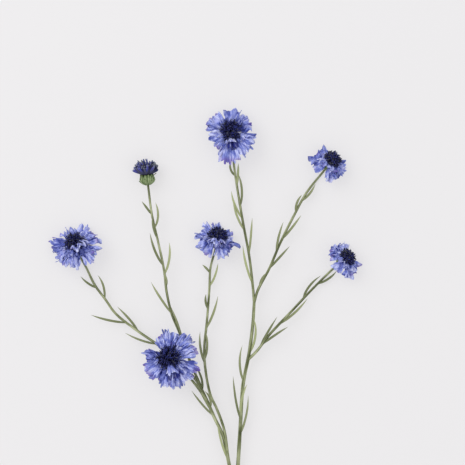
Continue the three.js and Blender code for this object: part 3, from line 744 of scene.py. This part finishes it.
def strand_path(polar, azimuth, start, reach, sway, count, flatness=TUFT_FLATNESS):
    """Points from start to reach, in the direction of two angles, with a little sway."""
    t = np.linspace(0, 1, count)
    distance = start + (reach - start) * t
    tilt = polar * (0.86 + 0.14 * t) + sway[0] * np.sin(pi * t)
    turn = azimuth + sway[1] * t
    return np.stack([
        distance * np.sin(tilt) * np.cos(turn), distance * np.sin(tilt) * np.sin(turn),
        flatness * distance * np.cos(tilt),
    ], -1)


def add_strand(shape, path, radii, kind, draw, sides=6):
    """Adds one slim round strand along a path."""
    sides_at = across_of(unit(np.gradient(path, axis=0)), STRAND_GUIDE)
    along = np.linspace(0, 1, len(path))
    add_tube(shape, path, sides_at, np.array(radii)[:, None], along, draw, kind, sides)


def add_disc_floret(shape, polar, azimuth, reach, level, faded):
    """Adds a disc floret: a blunt dark anther column over its corolla, which parts into lobes."""
    rng = shape.rng
    sway = rng.uniform(-0.32, 0.32), rng.uniform(-0.6, 0.6)
    lift = UP * level
    tube = strand_path(polar, azimuth, 0.12 * reach, 0.62 * reach, sway, len(TUBE_RADII)) + lift
    add_strand(shape, tube, TUBE_RADII, TUBE, rng.uniform())
    column = strand_path(polar, azimuth, 0.45 * reach, reach, sway, len(COLUMN_RADII)) + lift
    girth = rng.uniform(0.6, 1)
    add_strand(shape, column, np.multiply(COLUMN_RADII, girth), COLUMN, rng.uniform(faded, 1))
    axis = unit(tube[-1] - tube[-2])
    side, over = across_of(axis[None], STRAND_GUIDE)
    t = np.linspace(0, 1, len(LOBE_RADII))[:, None]
    for k in range(TUFT_LOBES):
        angle = 2 * pi * (k + rng.uniform(-0.2, 0.2)) / TUFT_LOBES
        out = side[0] * cos(angle) + over[0] * sin(angle)
        long = reach * rng.uniform(0.2, 0.32)
        flare = rng.uniform(0.2, 0.6)
        path = tube[-1] + out * 0.4 + axis * long * t * (1 - 0.2 * t) + out * long * flare * t**1.4
        add_strand(shape, path, LOBE_RADII, LOBE, rng.uniform(), 4)


def add_bud_floret(shape, polar, azimuth, reach, level, girth):
    """Adds one of a bud's florets, closed and blunt."""
    rng = shape.rng
    sway = rng.uniform(-0.14, 0.14), rng.uniform(-0.2, 0.2)
    root = min(1, polar / radians(BUD_SPREAD)) * BUD_ROOT
    foot = np.array([root * cos(azimuth), root * sin(azimuth), level])
    path = strand_path(polar, azimuth, 0, reach, sway, len(BUD_RADII), 1) + foot
    add_strand(shape, path, np.multiply(BUD_RADII, girth), CLOSED, rng.uniform(), 7)


def add_core(shape, level, radius):
    """Adds the low core that a tuft's florets stand on."""
    heights = np.multiply(CORE_HEIGHTS, radius) + level
    radii = np.multiply(CORE_RADII, radius)
    add_round(shape, heights, radii, np.zeros(len(heights)), 0.5, CORE, 18)


def spiral(count, spread, tilt, swing, rng):
    """Places over a dome, spread by the golden angle: how far out each is, and its two angles."""
    for k in range(count):
        share = sqrt((k + 0.5) / count)
        polar = radians(spread * share + rng.uniform(-tilt, tilt))
        yield share, polar, k * GOLDEN_ANGLE + rng.uniform(-swing, swing)


def add_bud_tuft(shape, flower):
    """Adds a bud's tuft of closed florets, a few of them loose at its sides."""
    rng = shape.rng
    level = CALYX_HEIGHT + GAP
    for share, polar, azimuth in spiral(BUD_COUNT, BUD_SPREAD, 4, 0.12, rng):
        reach = BUD_REACH * flower["size"] * (1 - 0.3 * share**2) * rng.uniform(0.86, 1.04)
        add_bud_floret(shape, polar, azimuth, reach, level, rng.uniform(0.75, 1.1))
    for polar, azimuth, reach, girth in LOOSE_FLORETS:
        add_bud_floret(shape, radians(polar), radians(azimuth), reach, level, girth)
    add_core(shape, level, BUD_CORE * DISC_RADIUS * flower["size"])


def add_tuft(shape, flower):
    """Adds the dark tuft: disc florets over a low core, spread by the golden angle."""
    level = CALYX_HEIGHT + GAP + DISC_HEIGHT + GAP
    size = flower["size"]
    middle = level + TUFT_RISE * size
    for _, polar, azimuth in spiral(TUFT_COUNT, TUFT_SPREAD, 7, 0.3, shape.rng):
        reach = TUFT_REACH * size * shape.rng.uniform(0.76, 1.1)
        add_disc_floret(shape, polar, azimuth, reach, middle, flower["faded"])
    add_core(shape, level, DISC_RADIUS * size)


# ---- materials


def linear(code):
    """A colour's linear values from its hexadecimal code."""
    parts = [part / 255 for part in bytes.fromhex(code)]
    return [*(c / 12.92 if c <= 0.04045 else ((c + 0.055) / 1.055) ** 2.4 for c in parts), 1]


class Surface:
    """A material whose nodes are made by short calls. A value is a number or another's output."""

    def __init__(self, name, roughness, **constants):
        self.material = bpy.data.materials.new(name)
        self.material.use_nodes = True
        self.tree = self.material.node_tree
        self.shade(Roughness=roughness, **constants)
        marks = self.node("Attribute", attribute_name="marks")
        split = self.node("SeparateXYZ", {0: marks.outputs["Vector"]})
        self.along, self.across, self.draw = split.outputs
        self.kind = marks.outputs["Alpha"]

    def node(self, kind, inputs=None, **settings):
        """A new node, with its settings and what goes into its sockets."""
        node = self.tree.nodes.new("ShaderNode" + kind)
        for key, value in settings.items():
            setattr(node, key, value)
        for socket, value in (inputs or {}).items():
            self.put(node.inputs[socket], value)
        return node

    def put(self, socket, value):
        """Sets a socket to a value or a colour's code, or joins it to another's output."""
        if isinstance(value, bpy.types.NodeSocket):
            self.tree.links.new(value, socket)
        else:
            socket.default_value = linear(value) if isinstance(value, str) else value

    def shade(self, **sockets):
        """Puts values into the shader's sockets."""
        for name, value in sockets.items():
            self.put(self.tree.nodes["Principled BSDF"].inputs[name.replace("_", " ")], value)

    def math(self, operation, a, b=0):
        return self.node("Math", {0: a, 1: b}, operation=operation).outputs[0]

    def times(self, a, b):
        return self.math("MULTIPLY", a, b)

    def off_middle(self, share):
        """How far a share is from one half."""
        return self.math("ABSOLUTE", self.math("SUBTRACT", share, 0.5))

    def at_least(self, kind):
        """1 on this kind of surface and the later ones, 0 on those before it."""
        return self.math("GREATER_THAN", self.kind, kind - 0.5)

    def fit(self, value, low, high, to_low=0, to_high=1):
        """A value's place between low and high, smoothed and taken to another span."""
        inputs = dict(enumerate((value, low, high, to_low, to_high)))
        return self.node("MapRange", inputs, interpolation_type="SMOOTHSTEP").outputs[0]

    def noise(self, vector, scale, detail, roughness=0.5):
        inputs = {"Vector": vector, "Scale": scale, "Detail": detail, "Roughness": roughness}
        return self.node("TexNoise", inputs).outputs["Fac"]

    def streaks(self, across, along, other, detail, roughness=0.5):
        """Noise that is stretched to its own scales across and along a petal, leaf or strand."""
        inputs = {0: self.times(self.across, across), 1: self.times(self.along, along), 2: other}
        vector = self.node("CombineXYZ", inputs).outputs[0]
        return self.noise(vector, 1, detail, roughness)

    def place(self):
        return self.node("TexCoord").outputs["Object"]

    def ramp(self, value, *stops):
        """Colours at positions, mixed between them."""
        node = self.node("ValToRGB", {0: value})
        while len(node.color_ramp.elements) < len(stops):
            node.color_ramp.elements.new(0.5)
        for element, (position, code) in zip(node.color_ramp.elements, stops):
            element.position = position
            element.color = linear(code)
        return node.outputs[0]

    def mix(self, share, a, b):
        """One colour where the share is 0 and the other where it is 1."""
        return self.node("Mix", {0: share, 6: a, 7: b}, data_type="RGBA").outputs[2]

    def finish(self, colour, height, distance, strength, roughness):
        """The material, with its colour, its relief and its roughness joined."""
        relief = {"Height": height, "Distance": distance * MM, "Strength": strength}
        bump = self.node("Bump", relief).outputs[0]
        self.shade(Base_Color=colour, Normal=bump, Roughness=roughness)
        return self.material


def stem_material():
    """Grooved sage green, paler where it is woolly; leaves have a pale midrib and fine veins."""
    s = Surface("stem", 0.7, Specular_IOR_Level=0.2)
    fibres = s.streaks(14, 5, s.draw, 3)
    patches = s.noise(s.place(), 90, 3)
    green = s.ramp(patches, (0.3, "495130"), (0.5, "767e54"), (0.7, "b6bc95"))
    green = s.mix(s.fit(fibres, 0.4, 0.65), s.mix(0.5, green, "343b20"), s.mix(0.4, green, "c6cba4"))
    edge = s.off_middle(s.across)
    rib = s.fit(edge, 0, 0.09, 1, 0)
    veins = s.streaks(9, 1.4, s.draw, 2)
    leaf = s.ramp(s.along, (0, "5e683e"), (0.5, "7b8555"), (1, "b1b78d"))
    leaf = s.mix(s.fit(veins, 0.35, 0.65), s.mix(0.3, leaf, "4e5433"), leaf)
    leaf = s.mix(s.times(rib, 0.5), leaf, "c8cdab")
    # The leaf darkens towards its edges: painted shade along its folded edges.
    margin_shade = s.fit(edge, 0.36, 0.5)
    leaf = s.mix(s.times(margin_shade, 0.5), leaf, "545a38")
    leaf = s.mix(s.times(s.at_least(LEAF_BACK), 0.4), leaf, "9a9e7e")
    leaf = s.mix(s.fit(s.draw, 0.4, 1, 0, 0.5), leaf, "465030")
    leaf = s.mix(s.fit(s.draw, 0.4, 0, 0, 0.5), leaf, "bcc492")
    colour = s.mix(s.at_least(LEAF), green, leaf)
    height = s.math("ADD", s.times(fibres, 0.6), s.times(veins, 0.4))
    return s.finish(colour, height, 0.25, 0.5, s.fit(patches, 0.3, 0.7, 0.62, 0.8))


def calyx_material():
    """Bracts, green with a pale keel and a dark, papery edge."""
    s = Surface("calyx", 0.65, Specular_IOR_Level=0.2)
    edge = s.times(s.off_middle(s.across), 2)
    rim = s.math("MAXIMUM", s.fit(edge, 0.55, 1), s.fit(s.along, 0.8, 1))
    lines = s.streaks(8, 1, s.draw, 2)
    green = s.ramp(lines, (0.3, "45562f"), (0.5, "60754a"), (0.7, "7f9364"))
    green = s.mix(s.fit(edge, 0, 0.25, 0.8, 0), green, "abb98e")
    green = s.mix(s.times(rim, 0.8), green, "333f20")
    green = s.mix(s.fit(s.draw, 0.3, 1, 0, 0.45), green, "4a5e30")
    return s.finish(green, lines, 0.3, 0.5, s.fit(lines, 0.3, 0.7, 0.55, 0.75))


def ray_material():
    """Periwinkle, deep in the throat, with fine veins, darker folds and some violet tips.

    The throat's depth is partly its own colour and partly painted shade; the darker folds and creases
    are painted shade, and the pale tones and pale vein streaks are partly painted highlights.
    """
    s = Surface("rays", 0.7, Specular_IOR_Level=0.15, Sheen_Weight=0.08, Sheen_Roughness=0.5)
    # All three ramps darken towards the throat: partly the floret's own colour, partly painted shade at
    # the bases beside the tuft. The pale ramp's near-white rim partly paints highlights.
    deep = s.ramp(s.along, (0, "121855"), (0.35, "242f82"), (0.7, "3b479c"), (1, "5260b0"))
    middle = s.ramp(s.along, (0, "1c246e"), (0.3, "4552b0"), (0.6, "7b88d6"), (1, "98a2e2"))
    pale = s.ramp(s.along, (0, "34409e"), (0.25, "7481d6"), (0.5, "b4bbf3"), (1, "d4d9fb"))
    # Streaks of noise added to the floret's tone: partly random tone, partly painted fold shade and
    # painted highlights.
    folds = s.streaks(0.75, 2.4, s.kind, 2, 0.6)
    tone = s.math("ADD", s.times(s.kind, 0.75), s.fit(folds, 0.36, 0.66, -0.2, 0.6))
    base = s.mix(s.fit(tone, 0, 0.5), deep, middle)
    base = s.mix(s.fit(tone, 0.5, 1), base, pale)
    # Tones below zero go to a very dark blue: painted shade, for the dark sheets in front of the hoods.
    base = s.mix(s.fit(s.kind, 0, -1), base, "20287c")
    # Darker lines between the teeth towards the rim: painted shade in the creases between them.
    strand = s.off_middle(s.math("FRACT", s.across))
    crease_shade = s.times(s.fit(strand, 0.3, 0.5), s.fit(s.along, 0.6, 0.95, 0.05, 0.5))
    veins = s.streaks(3, 2, s.kind, 3, 0.6)
    colour = s.mix(crease_shade, base, s.mix(0.6, base, "2a2f84"))
    # The dark vein streaks are partly the veins' own colour and partly painted crease shade; the pale
    # streaks are painted highlights.
    colour = s.mix(s.fit(veins, 0.5, 0.34), colour, s.mix(0.35, colour, "34398c"))
    colour = s.mix(s.fit(veins, 0.5, 0.7, 0, 0.8), colour, s.mix(0.5, colour, "d8dcfc"))
    violet = s.times(s.fit(s.draw, 0.66, 0.84), s.fit(s.along, 0.74, 1))
    colour = s.mix(s.times(violet, 0.65), colour, "7450a6")
    dark = s.times(s.fit(s.draw, 0.4, 0.1), s.fit(s.along, 0.84, 1))
    colour = s.mix(s.times(dark, 0.7), colour, "30337e")
    return s.finish(colour, veins, 0.25, 0.6, s.fit(veins, 0.3, 0.7, 0.62, 0.8))


def tuft_material():
    """Near-black navy anthers over violet-blue corollas, with dull olive tips."""
    s = Surface("tuft", 0.7, Specular_IOR_Level=0.1)
    grain = s.noise(s.place(), 700, 3)
    corolla = s.ramp(s.along, (0, "090918"), (0.6, "10112c"), (1, "1c1e48"))
    lobe = s.ramp(s.along, (0, "131432"), (0.6, "2b3070"), (1, "4c4f8e"))
    column = s.ramp(s.along, (0, "070714"), (0.7, "111229"), (1, "242546"))
    blue = s.times(s.fit(s.draw, 0.3, 0.15), s.fit(s.along, 0.3, 0.8))
    column = s.mix(s.times(blue, 0.8), column, "2f3880")
    tip = s.times(s.fit(s.along, 0.6, 0.9), s.fit(s.draw, 0.62, 0.8))
    column = s.mix(s.times(tip, 0.75), column, "4d4f52")
    colour = s.mix(s.at_least(COLUMN), corolla, column)
    colour = s.mix(s.at_least(LOBE), colour, lobe)
    colour = s.mix(s.at_least(CORE), colour, "060612")
    closed = s.ramp(
        s.draw, (0, "26263f"), (0.25, "2b2e5c"), (0.45, "414a9c"), (0.65, "5a5aa4"), (0.8, "54546c"),
        (1, "787d74"),
    )
    closed = s.mix(s.fit(s.along, 0.75, 0.3), closed, "4d4f6a")
    closed = s.mix(s.fit(s.along, 0.85, 1, 0, 0.6), closed, "7f8590")
    colour = s.mix(s.at_least(CLOSED), colour, closed)
    colour = s.mix(s.fit(grain, 0.45, 0.75, 0, 0.3), colour, s.mix(0.5, colour, "3a3a80"))
    return s.finish(colour, grain, 0.15, 0.5, s.fit(grain, 0.3, 0.7, 0.6, 0.8))


# ---- assembly


def make_stem(materials):
    """The stem and its branches, with the stubs of the flower stalks."""
    shape = Shape("main_stem")
    for stem in STEMS.values():
        route = Route(stem["route"])
        add_stem(shape, route, 0, route.length, stem["radii"])
        for leaf in stem["leaves"]:
            add_leaf(shape, route, leaf)
    for flower in FLOWERS.values():
        add_stem(shape, stalk_route(flower), 0, flower.get("stub", STUB), STALK_RADII)
    shape.finish("stem_and_branches", "stem_green", materials)


def make_flower(name, flower, materials):
    """A flower's stalk, calyx, ray florets and tuft, each with its own draws."""
    route = stalk_route(flower)
    place = bloom_place(flower)

    stalk = Shape(name + "_stalk")
    add_stem(stalk, route, flower.get("stub", STUB) - 1, route.length, STALK_RADII)
    for leaf in flower["leaves"]:
        add_leaf(stalk, route, leaf)
    stalk.finish(name + "_leafy_stalk", "stem_green", materials)

    calyx = Shape(name + "_calyx")
    add_urn(calyx, flower)
    add_bracts(calyx, flower)
    calyx.finish(name + "_bracts", "calyx_green", materials, place)

    if flower["rays"]:
        rays = Shape(name + "_rays")
        add_ray_disc(rays, flower)
        level = CALYX_HEIGHT + GAP + DISC_HEIGHT / 2
        for layer, fall in ("rays", RAY_FALL), ("inner", INNER_FALL):
            for row in flower[layer]:
                add_ray(rays, Ray(*row), fall, flower, level)
        rays.finish(name + "_ray_florets", "ray_blue", materials, place)

    tuft = Shape(name + "_disc")
    if flower["rays"]:
        add_tuft(tuft, flower)
    else:
        add_bud_tuft(tuft, flower)
    tuft.finish(name + "_tuft", "tuft_navy", materials, place)


# ---- studio


def make_floor():
    """A plain pale surface, wide enough for every view."""
    mesh = bpy.data.meshes.new("floor")
    mesh.from_pydata(FLOOR_CORNERS, [], [(0, 1, 2, 3)])
    glow = {"Emission_Color": "f0eef0", "Emission_Strength": 0.64}
    mesh.materials.append(Surface("floor", 0.9, Base_Color="8a8a8a", **glow).material)
    floor = add_object("floor", mesh)
    floor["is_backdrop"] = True


def add_light(name, place, size, power):
    """A square soft light that faces the middle of the spray."""
    data = bpy.data.lights.new(name, "AREA")
    data.size = size
    data.energy = power
    light = add_object(name, data)
    light.location = place
    aim = Vector(LIGHT_TARGET) - Vector(place)
    light.rotation_euler = aim.to_track_quat("-Z", "Y").to_euler()


def make_studio():
    """Soft light from all sides, with a gentle key light from the upper left."""
    scene = bpy.context.scene
    scene.view_settings.view_transform = "Standard"
    world = bpy.data.worlds.new("studio")
    world.use_nodes = True
    background = world.node_tree.nodes["Background"]
    background.inputs["Color"].default_value = (1, 0.995, 1, 1)
    background.inputs["Strength"].default_value = 0.86
    scene.world = world
    add_light("key", (-1.1, 0.9, 1.4), 1.4, 13)
    add_light("fill", (1.5, -0.6, 1.4), 1.6, 3)


def make_camera():
    """Looks straight down on the blooms, with the lower stem beyond the picture's edge."""
    data = bpy.data.cameras.new("camera")
    data.sensor_width = 36
    data.lens = data.sensor_width * (CAMERA_PLACE[2] - VIEW_LEVEL) / VIEW_WIDTH
    data.clip_start, data.clip_end = 0.05, 50
    camera = add_object("camera", data)
    camera.location = CAMERA_PLACE
    bpy.context.scene.camera = camera


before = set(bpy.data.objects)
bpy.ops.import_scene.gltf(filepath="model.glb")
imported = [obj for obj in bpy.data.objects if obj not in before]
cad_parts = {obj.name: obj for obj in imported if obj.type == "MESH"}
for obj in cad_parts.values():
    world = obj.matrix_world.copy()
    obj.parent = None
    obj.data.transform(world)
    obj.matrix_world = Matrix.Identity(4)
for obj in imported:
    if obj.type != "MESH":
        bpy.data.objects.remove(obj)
cad_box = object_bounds()
make_camera()
make_studio()
make_floor()
slot_materials = {
    "stem_green": stem_material(), "calyx_green": calyx_material(), "ray_blue": ray_material(),
    "tuft_navy": tuft_material(),
}
make_stem(slot_materials)
for flower_name, flower_row in FLOWERS.items():
    make_flower(flower_name, flower_row, slot_materials)

boxes = {"cad": cad_box, "visual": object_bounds()}
{key: [list(corner) for corner in box] for key, box in boxes.items()}
